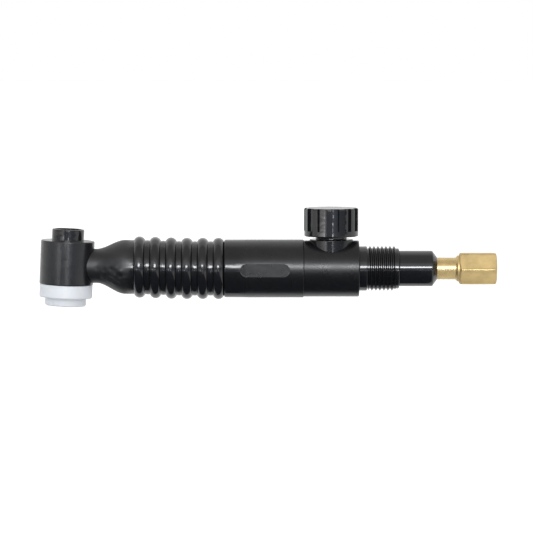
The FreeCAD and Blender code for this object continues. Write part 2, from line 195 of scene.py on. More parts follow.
def rounded(corners, arc_steps=4):
    """Points of a closed outline whose corners are (place, radius, rounding)."""
    points = []
    for number, (place, radius, rounding) in enumerate(corners):
        corner = Vector((place, radius))
        if not rounding:
            points.append(corner)
            continue
        before = (Vector(corners[number - 1][:2]) - corner).normalized()
        after = (Vector(corners[(number + 1) % len(corners)][:2]) - corner).normalized()
        half = before.angle(after) / 2
        centre = corner + (before + after).normalized() * (rounding / math.sin(half))
        first = corner + before * (rounding / math.tan(half)) - centre
        last = corner + after * (rounding / math.tan(half)) - centre
        sweep = math.pi - 2 * half
        for step in range(arc_steps + 1):
            part = sweep * step / arc_steps
            arm = (first * math.sin(sweep - part) + last * math.sin(part)) / math.sin(sweep)
            points.append(centre + arm)
    return points


def draw_line(name, points):
    """A new piece that is a line through the points, drawn by extruding one point."""
    piece = primitive(bpy.ops.mesh.primitive_plane_add, name, size=MM, location=points[0])
    piece.data.name = name
    start_editing(piece)
    bpy.ops.mesh.merge(type="CENTER")
    for here, there in zip(points, points[1:]):
        bpy.ops.mesh.extrude_region_move(TRANSFORM_OT_translate={"value": there - here})
    bpy.ops.mesh.select_all(action="SELECT")
    return piece


def turned(name, outline, closed=True, foot=ORIGIN, axis=ALONG, outward=UP, steps=ROUND_STEPS):
    """A piece turned about an axis from (along, radius) points, all in metres."""
    points = [foot + axis * point[0] + outward * point[1] for point in outline]
    if closed:
        points.append(points[0].copy())
    piece = draw_line(name, points)
    bpy.ops.mesh.spin(steps=steps, angle=2 * math.pi, center=foot, axis=axis)
    tidy_mesh()
    stop_editing()
    return piece


def tidy_mesh():
    """In edit mode, closes seams and poles and points all faces outwards."""
    bpy.ops.mesh.select_mode(type="VERT")
    bpy.ops.mesh.select_all(action="SELECT")
    bpy.ops.mesh.remove_doubles(threshold=WELD)
    bpy.ops.mesh.dissolve_degenerate(threshold=WELD)
    bpy.ops.mesh.select_all(action="SELECT")
    bpy.ops.mesh.normals_make_consistent(inside=False)


def apply_modifier(piece, modifier):
    select_only(piece)
    bpy.ops.object.modifier_apply(modifier=modifier.name)


def combine(piece, tool, operation="DIFFERENCE"):
    """Cuts the tool out of a piece, or melts it in, and deletes the tool."""
    modifier = piece.modifiers.new("combine", "BOOLEAN")
    modifier.operation = operation
    modifier.solver = "EXACT"
    modifier.object = tool
    apply_modifier(piece, modifier)
    bpy.data.objects.remove(tool)


def soften(piece, width, angle):
    """Rounds every edge that is sharper than the angle."""
    modifier = piece.modifiers.new("soften", "BEVEL")
    modifier.width = width
    modifier.segments = 3
    modifier.limit_method = "ANGLE"
    modifier.angle_limit = math.radians(angle)
    modifier.use_clamp_overlap = True
    apply_modifier(piece, modifier)


def rod(name, start, end, radius, steps=96):
    """A plain cutting rod from one point to another."""
    axis = end - start
    turn = axis.to_track_quat("Z", "Y").to_euler()
    return primitive(
        bpy.ops.mesh.primitive_cylinder_add, name, vertices=steps, radius=radius,
        depth=axis.length, location=(start + end) / 2, rotation=turn)


def is_open(edge):
    return len(edge.link_faces) == 1


def bridge_ends(piece, places, axis, foot):
    """Joins the two open rings that lie at each place along the axis."""
    start_editing(piece)
    for place in places:
        def at_place(edge):
            middle = (edge.verts[0].co + edge.verts[1].co) / 2 - foot
            return is_open(edge) and abs(middle.dot(axis) - place) < 5e-6
        select_where(piece, at_place, "EDGE")
        bpy.ops.mesh.bridge_edge_loops()
    tidy_mesh()
    stop_editing()


def thread_band(name, start, end, crest, root, pitch, crest_width, foot, axis, outward, steps=72):
    """The open helical surface of a right-hand thread between two flat cuts."""
    depth = abs(crest - root)
    flank = depth * math.tan(math.radians(30))
    half = crest_width / 2
    turns = math.ceil((end - start) / pitch) + 2
    below = start - 1.5 * pitch
    outline = [
        (below, crest), (below + half, crest), (below + half + flank, root),
        (below + pitch - half - flank, root), (below + pitch - half, crest), (below + pitch, crest),
    ]
    points = [foot + axis * point[0] + outward * point[1] for point in outline]
    band = draw_line(name, points)
    step_turn = Matrix.Rotation(2 * math.pi / steps, 3, axis)
    step_move = axis * (pitch / steps)
    for step in range(turns * steps):
        bpy.ops.mesh.extrude_region_move()
        mesh = bmesh.from_edit_mesh(band.data)
        for point in mesh.verts:
            if point.select:
                point.co = foot + step_turn @ (point.co - foot) + step_move
        bmesh.update_edit_mesh(band.data)
    tidy_mesh()
    for place, side in ((start, -1), (end, 1)):
        bpy.ops.mesh.select_all(action="SELECT")
        bpy.ops.mesh.bisect(
            plane_co=foot + axis * place, plane_no=axis * side, clear_outer=True, threshold=1e-7)
    tidy_mesh()
    stop_editing()
    return band


def threaded_space(name, low, high, crest, root, pitch, crest_width, foot, axis, outward):
    """The space inside a threaded hole, as a solid to cut with.

    low and high are the outlines before and after the thread, each from or to the axis.
    """
    space = turned(name, low, False, foot, axis, outward)
    upper = turned(name + "_upper", high, False, foot, axis, outward)
    start = low[-1][0]
    end = high[0][0]
    band = thread_band(
        name + "_thread", start, end, crest, root, pitch, crest_width, foot, axis, outward)
    join_pieces(space, upper, band)
    bridge_ends(space, (start, end), axis, foot)
    return space


def join_pieces(piece, *others):
    select_only(piece, *others)
    bpy.ops.object.join()


def clean_cuts(piece):
    """Merges the slivers that cuts leave. Faces with many sides are split first, so none is lost."""
    start_editing(piece)
    bpy.ops.mesh.select_mode(type="FACE")
    bpy.ops.mesh.select_all(action="DESELECT")
    bpy.ops.mesh.select_face_by_sides(number=4, type="GREATER")
    bpy.ops.mesh.quads_convert_to_tris()
    bpy.ops.mesh.select_mode(type="VERT")
    bpy.ops.mesh.select_all(action="SELECT")
    bpy.ops.mesh.remove_doubles(threshold=SLIVER)
    select_where(piece, lambda face: any(is_open(edge) for edge in face.edges), "FACE")
    bpy.ops.mesh.delete(type="FACE")
    stop_editing()


def coat(piece, material):
    piece.data.materials.clear()
    piece.data.materials.append(material)


def finish_piece(piece, material, slot, body, *nodes, angle=30.0):
    """Gives a piece its smooth faces, its finish and its place on the frame."""
    clean_cuts(piece)
    bpy.ops.object.shade_smooth_by_angle(angle=math.radians(angle))
    modifier = piece.modifiers.new("shading", "WEIGHTED_NORMAL")
    modifier.keep_sharp = True
    apply_modifier(piece, modifier)
    coat(piece, material)
    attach(piece, body)
    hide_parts(*nodes)


# finishes

def add_node(tree, kind, inputs=None, **settings):
    """A new node, whose inputs are each given a value or linked to the output of another."""
    node = tree.nodes.new(kind)
    for name, value in settings.items():
        setattr(node, name, value)
    for name, value in (inputs or {}).items():
        if isinstance(value, bpy.types.NodeSocket):
            tree.links.new(value, node.inputs[name])
        else:
            node.inputs[name].default_value = value
    return node


def maths(tree, operation, first, second):
    return add_node(tree, "ShaderNodeMath", {0: first, 1: second}, operation=operation).outputs[0]


def shader_of(material):
    return material.node_tree.nodes["Principled BSDF"]


def new_material(name):
    material = bpy.data.materials.new(name)
    material.use_nodes = True
    return material


def noise(tree, scale, detail=3.0, roughness=0.5, stretch=(1, 1, 1)):
    """A noise pattern on object coordinates; scale is in patterns per metre."""
    place = add_node(tree, "ShaderNodeTexCoord").outputs["Object"]
    mapping = add_node(tree, "ShaderNodeMapping", {"Vector": place, "Scale": stretch})
    return add_node(tree, "ShaderNodeTexNoise", {
        "Vector": mapping.outputs["Vector"], "Scale": scale, "Detail": detail,
        "Roughness": roughness}).outputs["Fac"]


def ranged(tree, value, low, high, new_low, new_high):
    return add_node(tree, "ShaderNodeMapRange", {
        "Value": value, "From Min": low, "From Max": high, "To Min": new_low,
        "To Max": new_high}).outputs["Result"]


def bumped(tree, height, distance, normal=None):
    inputs = {"Height": height, "Distance": distance}
    if normal is not None:
        inputs["Normal"] = normal
    return add_node(tree, "ShaderNodeBump", inputs).outputs["Normal"]


def tinted(tree, value, dark, light):
    return add_node(
        tree, "ShaderNodeMix", {0: value, 6: (*dark, 1), 7: (*light, 1)}, data_type="RGBA").outputs[2]


def along(tree, axis, start, end, amount):
    """0 before start and the whole amount past end, along one axis of the frame."""
    place = add_node(tree, "ShaderNodeTexCoord").outputs["Object"]
    parts = add_node(tree, "ShaderNodeSeparateXYZ", {0: place})
    return ranged(tree, parts.outputs[axis], start, end, 0.0, amount)


def across(tree, foot, sideways, past=(1, 1, 1)):
    """Distance from an axis through foot; a place beyond past counts as lying on it."""
    place = add_node(tree, "ShaderNodeTexCoord").outputs["Object"]
    for operation, vector in (("SUBTRACT", foot), ("MINIMUM", past), ("MULTIPLY", sideways)):
        step = add_node(tree, "ShaderNodeVectorMath", {0: place, 1: vector}, operation=operation)
        place = step.outputs["Vector"]
    return add_node(tree, "ShaderNodeVectorMath", {0: place}, operation="LENGTH").outputs["Value"]


def duller(material, amount):
    """Adds an amount, worked out by the material's own nodes, to a finish's roughness."""
    tree = material.node_tree
    socket = shader_of(material).inputs["Roughness"]
    tree.links.new(maths(tree, "ADD", socket.links[0].from_socket, amount), socket)


def roughen(material, axis, start, end, amount):
    """Makes a finish duller past a place along an axis."""
    duller(material, along(material.node_tree, axis, start, end, amount))


def streaked(material, fine, stretch, depth):
    """Adds drawn-out streaks, as a mould leaves them, under the finish's own bumps."""
    tree = material.node_tree
    first = shader_of(material).inputs["Normal"].links[0].from_node
    while first.inputs["Normal"].links:
        first = first.inputs["Normal"].links[0].from_node
    streaks = bumped(tree, noise(tree, fine, 2.0, 0.5, stretch), depth)
    tree.links.new(streaks, first.inputs["Normal"])


def dress(material, base, roughness, normal):
    """Links a finish's patterns to its shader."""
    inputs = shader_of(material).inputs
    for name, value in (("Base Color", base), ("Roughness", roughness), ("Normal", normal)):
        material.node_tree.links.new(value, inputs[name])


def shade(name, share=1.0):
    """One of the colours of the scene, or a darker share of it."""
    return Vector(getattr(bpy.context.scene.torch_colours, name)) * share


def black_moulding(name, gloss, waviness, wave_size, pits=0.0):
    """Glossy black plastic: soft waves, fine pits, faint dust and rubbed patches."""
    material = new_material(name)
    tree = material.node_tree
    black = shade("black")
    dusty = black + Vector((0.003, 0.003, 0.003))
    specks = ranged(tree, noise(tree, 420.0, 5.0, 0.65), 0.45, 0.75, 0.0, 1.0)
    rubbed = noise(tree, 160.0, 4.0, 0.6)
    normal = bumped(tree, noise(tree, 1.0 / wave_size, 1.5, 0.4), waviness)
    if pits:
        grain = ranged(tree, noise(tree, 2600.0, 2.0, 0.5), 0.62, 0.72, 1.0, 0.0)
        normal = bumped(tree, grain, pits, normal)
    dress(
        material, tinted(tree, specks, black, dusty),
        ranged(tree, rubbed, 0.3, 0.7, gloss, gloss + 0.06), normal)
    shader_of(material).inputs["IOR"].default_value = 1.5
    return material


def machined_metal(name, base, dull, gloss, stretch, fine):
    """Turned or drawn metal with fine lines along one direction and tarnish."""
    material = new_material(name)
    tree = material.node_tree
    tarnish = ranged(tree, noise(tree, 180.0, 4.0, 0.6), 0.35, 0.70, 0.0, 1.0)
    lines = noise(tree, fine, 3.0, 0.6, stretch)
    dress(
        material, tinted(tree, tarnish, base, dull),
        ranged(tree, lines, 0.3, 0.7, gloss, gloss + 0.14), bumped(tree, lines, 0.000012))
    shader_of(material).inputs["Metallic"].default_value = 1.0
    return material


def plain_material(name, base, speckle, gloss, grain):
    """A dull material with mottling and a fine grain."""
    material = new_material(name)
    tree = material.node_tree
    mottle = noise(tree, 260.0, 4.0, 0.6)
    dress(
        material, tinted(tree, mottle, base, speckle),
        ranged(tree, mottle, 0.3, 0.7, gloss, gloss + 0.12), bumped(tree, noise(tree, 1800.0), grain))
    return material


def waxy_white():
    material = plain_material("gasket_white", shade("gasket"), shade("gasket", 0.96), 0.38, 0.00001)
    shader = shader_of(material)
    shader.inputs["Subsurface Weight"].default_value = 0.25
    shader.inputs["Subsurface Radius"].default_value = (1.0, 0.9, 0.8)
    shader.inputs["Subsurface Scale"].default_value = 0.002
    return material


# the head

def head_axis():
    """The electrode axis and the direction from it towards the handle."""
    lean = bpy.context.scene.torch_head.lean
    return Vector((math.sin(lean), 0, math.cos(lean))), Vector((math.cos(lean), 0, -math.sin(lean)))


def head_turned(name, outline, closed=True):
    axis, outward = head_axis()
    return turned(name, outline, closed, ORIGIN, axis, outward)


class TORCH_OT_head(bpy.types.Operator):
    """Models the black moulding of the head with its collar"""
    bl_idname = "torch.head"
    bl_label = "Head"

    def execute(self, context):
        head = context.scene.torch_head
        collar_top = head.top + head.collar_height
        collar_bore = head.collar_radius - 1.2 * MM
        core = head.radius - 3.3 * MM
        core_top = 10.95 * MM
        floor = -head.bottom + 1.95 * MM
        shell = head_turned("head_moulding", rounded([
            (-head.bottom, SPIGOT, 0), (-head.bottom, head.radius, head.edge),
            (head.top, head.radius, head.edge), (head.top, head.collar_radius, 0.25 * MM),
            (collar_top, head.collar_radius, head.edge), (collar_top, collar_bore, 0.3 * MM),
            (core_top, collar_bore, 0), (core_top, core, 0), (floor, core, 0), (floor, SPIGOT, 0),
        ]))
        combine(shell, rod("way", ORIGIN, ALONG * 20 * MM, TUBE_WAY))
        finish = black_moulding("head_insulation", 0.05, 0.00008, 0.0035, 0.000008)
        roughen(finish, "Z", 13.4 * MM, 12.6 * MM, 0.16)
        streaked(finish, 1100.0, (1, 1, 0.08), 0.00003)
        finish_piece(shell, finish, "head_insulation", "torch_body", "head_shell")
        return {"FINISHED"}


class TORCH_OT_head_core(bpy.types.Operator):
    """Models the brass core of the head and its bush, with their inside threads"""
    bl_idname = "torch.head_core"
    bl_label = "Head core and bush"

    def execute(self, context):
        head = context.scene.torch_head
        axis, outward = head_axis()
        brass = machined_metal(
            "core_brass", shade("brass"), shade("brass", 0.72), 0.22, (1, 1, 6), 900.0)
        bottom = -head.bottom - 4.2 * MM
        floor = -head.bottom + 2.0 * MM
        ledge = 6.9 * MM
        core_top = 10.9 * MM
        core_r = head.radius - 3.35 * MM
        spigot = 6.23 * MM
        bush_way = 5.9 * MM
        bore = 3.2 * MM
        bore_end = 0.5 * MM
        mouth = 5.12 * MM
        root = 4.76 * MM
        relief = root + 0.05 * MM
        core = head_turned("head_core_brass", rounded([
            (bottom, 0, 0), (bottom, spigot, 0.25 * MM), (floor, spigot, 0), (floor, core_r, 0),
            (core_top, core_r, 0), (core_top, bush_way, 0), (ledge, bush_way, 0), (ledge, bore, 0),
            (bore_end, bore, 0), (bore_end, 0, 0),
        ]), closed=False)
        combine(core, threaded_space(
            "core_socket",
            [(bottom - MM, 0), (bottom - MM, mouth), (bottom - 0.02 * MM, mouth),
             (bottom + 0.5 * MM, relief)],
            [(0.2 * MM, relief), (MM, relief), (MM, 0)],
            4.33 * MM, root, 0.794 * MM, 0.12 * MM, ORIGIN, axis, outward))
        combine(core, rod("tube_seat", ALONG * 6.05 * MM, ALONG * 20 * MM, TUBE_WAY))
        combine(core, rod("gas_port", ORIGIN, ALONG * 8.65 * MM, 2.0 * MM))
        finish_piece(core, brass, "core_brass", "torch_body", "head_core", angle=35)

        top = head.top + head.collar_height - 1.0 * MM
        bush_r = head.collar_radius - 1.25 * MM
        root = 5.4 * MM
        relief = root + 0.05 * MM
        mouth = 5.67 * MM
        deep = top - 7.0 * MM
        bush = head_turned("back_cap_thread", rounded([
            (ledge, bore, 0), (ledge, bush_r, 0), (top, bush_r, 0.1 * MM), (top, bore, 0)]))
        combine(bush, threaded_space(
            "bush_socket",
            [(deep, 0), (deep, relief), (deep + 0.6 * MM, relief)],
            [(top - 0.45 * MM, relief), (top + 0.02 * MM, mouth), (top + MM, mouth), (top + MM, 0)],
            4.95 * MM, root, 0.907 * MM, 0.12 * MM, ORIGIN, axis, outward))
        finish_piece(bush, brass, "core_brass", "torch_body", "back_cap_bush", angle=35)
        return {"FINISHED"}


class TORCH_OT_gasket(bpy.types.Operator):
    """Models the white stepped gasket under the head"""
    bl_idname = "torch.gasket"
    bl_label = "Cup gasket"

    def execute(self, context):
        head = context.scene.torch_head
        sizes = context.scene.torch_gasket
        step = -head.bottom - sizes.height
        bottom = step - sizes.step_height
        gasket = head_turned("white_gasket", rounded([
            (-head.bottom, SPIGOT, 0), (-head.bottom, sizes.radius, 0.2 * MM),
            (step, sizes.radius, sizes.edge), (step, sizes.step_radius, 0.25 * MM),
            (bottom, sizes.step_radius, sizes.edge), (bottom, SPIGOT, 0.25 * MM),
        ], 6))
        finish_piece(gasket, waxy_white(), "gasket_white", "torch_body", "cup_gasket")
        return {"FINISHED"}


# the grip and the sleeve

def rib_outline(sizes, barrel_start, grip_end):
    """Outside of the ribbed barrel, from the neck to the sleeve."""
    root = sizes.root_radius
    crest_round = 2.75 * MM
    flank = math.radians(65)
    crest_half = crest_round * math.sin(flank)
    drop = sizes.rib_height - crest_round * (1 - math.cos(flank))
    foot_half = crest_half + drop / math.tan(flank)
    foot_in = 0.06 * MM
    foot_top = root + 0.05 * MM
    reach = sizes.rib_pitch / 2 - foot_half - 0.1 * MM
    swell = 0.12 * MM
    points = [(barrel_start, root)]
    for number in range(6):
        crest = sizes.first_rib + number * sizes.rib_pitch
        if number:
            middle = crest - sizes.rib_pitch / 2
            for step in range(-3, 4):
                share = step / 3
                points.append((middle + share * reach, root + swell * (1 - share * share)))
        points += [(crest - foot_half, root), (crest - foot_half + foot_in, foot_top)]
        for step in range(-8, 9):
            angle = flank * step / 8
            points.append((
                crest + crest_round * math.sin(angle),
                root + sizes.rib_height - crest_round * (1 - math.cos(angle))))
        points += [(crest + foot_half - foot_in, foot_top), (crest + foot_half, root)]
    points = [point for point in points if point[0] < grip_end - 0.2 * MM]
    points.append((grip_end - 0.15 * MM, root))
    return points


def press(piece, place, height, push, reach):
    """Pulls the camera side of the skin out or in by hand at a place, with a soft falloff."""
    mesh = bmesh.from_edit_mesh(piece.data)
    skin = [point for point in mesh.verts if point.co.y < 0 and point.co.yz.length > 6 * MM]
    nearest = min(skin, key=lambda point: (point.co.x - place) ** 2 + (point.co.z - height) ** 2)
    move = nearest.normal * push
    bpy.ops.mesh.select_all(action="DESELECT")
    nearest.select_set(True)
    mesh.select_flush_mode()
    bmesh.update_edit_mesh(piece.data)
    bpy.ops.transform.translate(
        value=move, use_proportional_edit=True, proportional_edit_falloff="SMOOTH",
        proportional_size=reach)


class TORCH_OT_grip(bpy.types.Operator):
    """Models the wrinkled neck and the six ribs in one moulding"""
    bl_idname = "torch.grip"
    bl_label = "Neck and ribbed grip"

    def execute(self, context):
        sizes = context.scene.torch_grip
        start = 26.5 * MM
        tenon_end = GRIP_END + 8 * MM
        outline = rib_outline(sizes, start, GRIP_END)
        outline += [
            (GRIP_END, sizes.root_radius - 0.15 * MM), (GRIP_END, TENON), (tenon_end, TENON),
            (tenon_end, TUBE_WAY), (start, TUBE_WAY),
        ]
        grip = turned("ribbed_grip", outline, closed=False)

        def outer_ring(point):
            return abs(point.x - start) < 1e-6 and point.yz.length > sizes.root_radius - MM

        def inner_ring(point):
            return abs(point.x - start) < 1e-6 and point.yz.length < TUBE_WAY + 0.1 * MM

        start_editing(grip)
        select_where(grip, lambda point: point.yz.length < TENON + 0.01 * MM)
        bpy.ops.mesh.hide()
        select_where(grip, outer_ring)
        bpy.ops.transform.translate(
            value=(0, 0, sizes.front_rise), use_proportional_edit=True,
            proportional_edit_falloff="SMOOTH", proportional_size=30 * MM)
        bpy.ops.mesh.reveal()
        select_where(grip, outer_ring)
        end = self.neck(sizes, start)
        select_where(grip, inner_ring)
        bpy.ops.mesh.extrude_region_move(TRANSFORM_OT_translate={"value": (end - start, 0, 0)})
        select_where(grip, is_open, "EDGE")
        bpy.ops.mesh.bridge_edge_loops()
        tidy_mesh()
        self.wrinkle(grip)
        stop_editing()
        axis = head_axis()[0]
        combine(grip, rod(
            "head_space", axis * -24 * MM, axis * 24 * MM,
            context.scene.torch_head.radius + 0.05 * MM, 192))
        finish = black_moulding("grip_rubber", 0.10, 0.00015, 0.0035, 0.000008)
        roughen(finish, "X", 31 * MM, 27 * MM, 0.34)
        finish_piece(grip, finish, "grip_rubber", "torch_body", "grip", angle=50)
        return {"FINISHED"}

    def neck(self, sizes, start):
        """Draws the open front of the barrel out into the neck, and gives the place of its end."""
        stations = 30
        flare = 13.0 * MM
        narrow = 13.5 * MM
        radius = sizes.root_radius
        centre = Vector((start, 0, sizes.front_rise))
        for station in range(1, stations + 1):
            share = 1 - station / stations
            smooth = share * share * (3 - 2 * share)
            height = sizes.neck_rise + (sizes.front_rise - sizes.neck_rise) * smooth
            new_centre = Vector((narrow + share * flare, 0, height))
            new_radius = sizes.neck_radius + (sizes.root_radius - sizes.neck_radius) * smooth
            self.next_ring(centre, new_centre, new_radius / radius)
            centre, radius = new_centre, new_radius
        for station in range(16):
            new_centre = centre - Vector((0.5 * MM, 0, 0))
            self.next_ring(centre, new_centre, 1.0)
            centre = new_centre
        return centre.x

    def next_ring(self, centre, new_centre, growth):
        bpy.ops.mesh.extrude_region_move(
            TRANSFORM_OT_translate={"value": new_centre - centre})
        if growth != 1.0:
            bpy.ops.transform.resize(
                value=(1.0, growth, growth), center_override=new_centre)

    def wrinkle(self, grip):
        """The folds and dents that the moulding of the neck shows on its camera side."""
        bpy.ops.mesh.select_mode(type="VERT")
        # place along the handle, height, push outwards and reach, in mm
        folds = [
            (24.6, -0.4, 0.55, 2.3), (22.8, 1.3, 0.32, 1.6), (26.7, 1.3, 0.25, 1.5),
            (24.9, -2.7, -0.50, 1.5), (18.3, -2.7, -0.35, 1.3), (19.6, -3.4, -0.38, 1.3),
            (20.9, -4.2, -0.40, 1.3), (22.2, -5.0, -0.42, 1.3), (23.4, -5.7, -0.38, 1.3),
            (19.0, -4.7, 0.22, 1.1), (21.2, -5.8, 0.22, 1.1), (21.6, -2.4, 0.38, 1.7),
            (15.2, -3.4, -0.32, 1.8), (16.9, -1.3, 0.24, 1.6), (13.8, 0.4, -0.16, 1.6),
            (20.4, 0.3, -0.28, 1.6), (18.4, 1.4, 0.16, 1.7), (26.2, -3.6, 0.28, 1.5),
        ]
        for place, height, push, reach in folds:
            press(grip, place * MM, height * MM, push * MM, reach * MM)

        def folded(point):
            return point.y < 0 and 12.5 * MM < point.x < 29 * MM and point.yz.length > 5 * MM

        select_where(grip, folded)
        bpy.ops.mesh.vertices_smooth(factor=0.5, repeat=2)


class TORCH_OT_sleeve(bpy.types.Operator):
    """Models the smooth sleeve with its oval recess"""
    bl_idname = "torch.sleeve"
    bl_label = "Handle sleeve"

    def execute(self, context):
        sizes = context.scene.torch_sleeve
        bore = 10.0 * MM
        sleeve = turned("smooth_sleeve", rounded([
            (GRIP_END, bore, 0), (GRIP_END, sizes.radius, sizes.edge),
            (SLEEVE_END, sizes.radius, 0.25 * MM), (SLEEVE_END, bore, 0),
        ], 6), steps=192)
        end_r = sizes.recess_width / 2
        half = sizes.recess_length / 2 - end_r
        first = Vector((GRIP_END + 18.5 * MM - half, 0, 0))
        floor = Vector((0, -(sizes.radius - sizes.recess_depth), 0))
        front = Vector((0, -16 * MM, 0))
        tool = rod("recess_end", first + floor, first + front, end_r, 48)
        start_editing(tool)
        select_where(tool, lambda point: point.x > first.x + 1e-6)
        bpy.ops.transform.translate(value=(2 * half, 0, 0))
        stop_editing()
        combine(sleeve, tool)
        soften(sleeve, 0.22 * MM, 40)
        finish = black_moulding("sleeve_plastic", 0.11, 0.00008, 0.006, 0.000006)
        roughen(finish, "X", 77 * MM, 82 * MM, 0.15)
        shader_of(finish).inputs["Specular IOR Level"].default_value = 0.38
        finish_piece(sleeve, finish, "sleeve_plastic", "torch_body", "handle_sleeve")
        return {"FINISHED"}


# the valve
class TORCH_OT_housing(bpy.types.Operator):
    """Models the valve housing with the boss under the knob"""
    bl_idname = "torch.housing"
    bl_label = "Valve housing"

    def execute(self, context):
        sizes = context.scene.torch_housing
        start = 100.35 * MM
        end = 132.45 * MM
        block = 110.35 * MM
        bore = sizes.radius - 3.4 * MM
        housing = turned("valve_housing_shell", rounded([
            (start, TUBE_WAY, 0), (start, TENON, 0), (SLEEVE_END, TENON, 0),
            (SLEEVE_END, sizes.radius, 0.25 * MM), (end, sizes.radius, 0.4 * MM), (end, bore, 0),
            (block, bore, 0), (block, TUBE_WAY, 0),
        ], 5), steps=192)
        boss = turned("boss", rounded([
            (0, 0, 0), (0, sizes.boss_radius, 0), (sizes.boss_top, sizes.boss_radius, 0.35 * MM),
            (sizes.boss_top, 0, 0),
        ], 5), closed=False, foot=STEM, axis=UP, outward=ALONG)
        combine(housing, boss, "UNION")
        combine(housing, rod("boss_bore", STEM, STEM + UP * 30 * MM, 6.6 * MM))
        combine(housing, rod("bore", ALONG * block, ALONG * 150 * MM, bore, 192))
        finish = black_moulding("housing_plastic", 0.06, 0.00006, 0.008, 0.000008)
        tree = finish.node_tree
        from_stem = across(tree, STEM + UP * 6 * MM, (1, 1, 1), (1, 1, 0))
        edge = sizes.boss_radius
        duller(finish, ranged(tree, from_stem, edge + 0.02 * MM, edge + 0.15 * MM, 0.0, 0.20))
        shader_of(finish).inputs["Specular IOR Level"].default_value = 0.33
        finish_piece(housing, finish, "housing_plastic", "torch_body", "valve_housing")
        return {"FINISHED"}


class TORCH_OT_knob(bpy.types.Operator):
    """Models the fluted knob and the cap in its top"""
    bl_idname = "torch.knob"
    bl_label = "Valve knob"

    def execute(self, context):
        sizes = context.scene.torch_knob
        black = black_moulding("knob_plastic", 0.04, 0.00004, 0.003, 0.000004)
        hub = 7.1 * MM
        hub_bottom = 13.36 * MM
        bore = 2.54 * MM
        way = 3.3 * MM
        cap_seat = sizes.top - 1.5 * MM
        pocket = sizes.top - 4.1 * MM
        pocket_r = 4.05 * MM
        turn = math.radians(FLUTE_START)
        knob = turned("fluted_knob", rounded([
            (hub_bottom, bore, 0), (hub_bottom, hub, 0.2 * MM), (sizes.bottom, hub, 0.2 * MM),
            (sizes.bottom, sizes.radius, 0.45 * MM), (sizes.top, sizes.radius, 0.8 * MM),
            (sizes.top, 4.65 * MM, 0.12 * MM), (cap_seat, 4.65 * MM, 0), (cap_seat, way, 0),
            (pocket, way, 0), (pocket, pocket_r, 0), (pocket - 7 * MM, pocket_r, 0),
            (pocket - 7 * MM, bore, 0),
        ], 5), foot=STEM, axis=UP, outward=Vector((math.sin(turn), -math.cos(turn), 0)))
        combine(knob, self.flutes(sizes))
        start_editing(knob)

        def flute_edge(edge):
            middle = (edge.verts[0].co + edge.verts[1].co) / 2 - STEM
            sharp = len(edge.link_faces) == 2 and edge.calc_face_angle() > math.radians(40)
            outside = middle.xy.length > sizes.radius - sizes.flute_depth - 0.3 * MM
            return sharp and outside and middle.z > sizes.bottom + sizes.rim - 0.05 * MM

        select_where(knob, flute_edge, "EDGE")
        bpy.ops.mesh.bevel(offset=0.4 * MM, segments=4, clamp_overlap=True)
        tidy_mesh()
        stop_editing()
        finish_piece(knob, black, "knob_plastic", "valve_knob", "knob")
        cap = turned("knob_cap_disc", rounded([
            (cap_seat, 0, 0), (cap_seat, 4.6 * MM, 0),
            (sizes.top, 4.6 * MM, 0.2 * MM), (sizes.top - 0.05 * MM, 3.2 * MM, 0.5 * MM),
            (sizes.top - 0.12 * MM, 0, 0),
        ]), closed=False, foot=STEM, axis=UP, outward=ALONG)
        finish_piece(cap, black, "knob_plastic", "valve_knob", "knob_cap")
        return {"FINISHED"}

    def flutes(self, sizes):
        """The cutters of all flutes: one is modelled and then copied round the axis."""
        turn = math.radians(FLUTE_START - 90)
        out = Vector((math.cos(turn), math.sin(turn), 0))
        low = sizes.bottom + sizes.rim
        high = sizes.top + 1 * MM
        tool = primitive(
            bpy.ops.mesh.primitive_cube_add, "flute_cutter", size=1.0, rotation=(0, 0, turn),
            location=STEM + out * sizes.radius + UP * (low + high) / 2,
            scale=(4.0 * MM, sizes.flute_width, high - low))
        start_editing(tool)
        bpy.ops.mesh.spin(
            steps=sizes.flutes - 1, angle=2 * math.pi * (sizes.flutes - 1) / sizes.flutes,
            dupli=True, center=STEM, axis=UP)
        tidy_mesh()
        stop_editing()
        combine(tool, rod(
            "flute_floors", STEM + UP * (low - MM), STEM + UP * (high + MM),
            sizes.radius - sizes.flute_depth, ROUND_STEPS))
        soften(tool, 0.35 * MM, 40)
        return tool


# the rear end

class TORCH_OT_adapter(bpy.types.Operator):
    """Models the black adapter with its outside thread"""
    bl_idname = "torch.adapter"
    bl_label = "Threaded adapter"

    def execute(self, context):
        sizes = context.scene.torch_rear
        root = sizes.thread_radius - sizes.thread_depth
        land = root - 0.05 * MM
        bore = 6.5 * MM
        flange = 136.05 * MM
        start = 136.55 * MM
        end = 148.85 * MM
        back = 150.55 * MM
        adapter = turned("threaded_adapter", rounded([
            (start, land, 0), (flange, land, 0), (flange, 10.1 * MM, 0.3 * MM),
            (132.5 * MM, 10.1 * MM, 0.2 * MM), (132.5 * MM, 9.3 * MM, 0), (128.45 * MM, 9.3 * MM, 0),
            (128.45 * MM, bore, 0), (back, bore, 0), (back, land, 0.35 * MM), (end, land, 0),
        ]), closed=False)
        band = thread_band(
            "thread", start, end, sizes.thread_radius, root, sizes.thread_pitch, 0.38 * MM,
            ORIGIN, ALONG, UP, 96)
        join_pieces(adapter, band)
        bridge_ends(adapter, (start, end), ALONG, ORIGIN)
        finish_piece(
            adapter, black_moulding("adapter_plastic", 0.10, 0.00003, 0.003, 0.000004),
            "adapter_plastic", "torch_body", "handle_adapter", angle=25)
        return {"FINISHED"}


